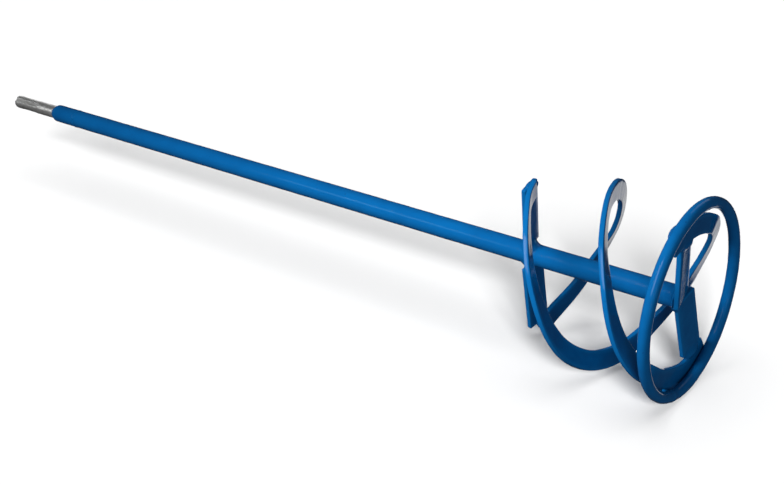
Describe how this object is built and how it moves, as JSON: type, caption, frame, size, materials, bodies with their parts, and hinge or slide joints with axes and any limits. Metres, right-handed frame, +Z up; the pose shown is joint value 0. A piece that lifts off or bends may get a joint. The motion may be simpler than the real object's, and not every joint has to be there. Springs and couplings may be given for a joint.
{
  "type": "mortar mixing paddle",
  "caption": "Mortar mixing paddle: a long round rod with a slotted hammer-drill shank and an open head of helical flat ribbons and pitched arms on a round wire ring.",
  "frame": {"origin": "centre of the flat end face of the drive shank", "axes": "+X along the tool's axis from the shank to the head; the axis is level, +Z is up and the mixing ring stands across it"},
  "size_m": [0.6, 0.12, 0.12],
  "materials": {
    "blue_paint": "gloss paint over welded steel",
    "bare_steel": "dull grey, blasted"
  },
  "bodies": {
    "root": {"sds_shank": "bare_steel", "rod_seam": "blue_paint", "rod": "blue_paint", "ring": "blue_paint", "ribbon_a": "blue_paint", "ribbon_b": "blue_paint", "upper_arm_a": "blue_paint", "upper_arm_b": "blue_paint", "lower_arm_a": "blue_paint", "lower_arm_b": "blue_paint", "rod_end_weld": "blue_paint", "upper_arm_a_rod_weld": "blue_paint", "upper_arm_b_rod_weld": "blue_paint", "upper_arm_a_tip_weld": "blue_paint", "upper_arm_b_tip_weld": "blue_paint", "lower_arm_a_tip_weld": "blue_paint", "lower_arm_b_tip_weld": "blue_paint", "ring_weld_a1": "blue_paint", "ring_weld_a2": "blue_paint", "ring_weld_b1": "blue_paint", "ring_weld_b2": "blue_paint"}
  },
  "joints": []
}
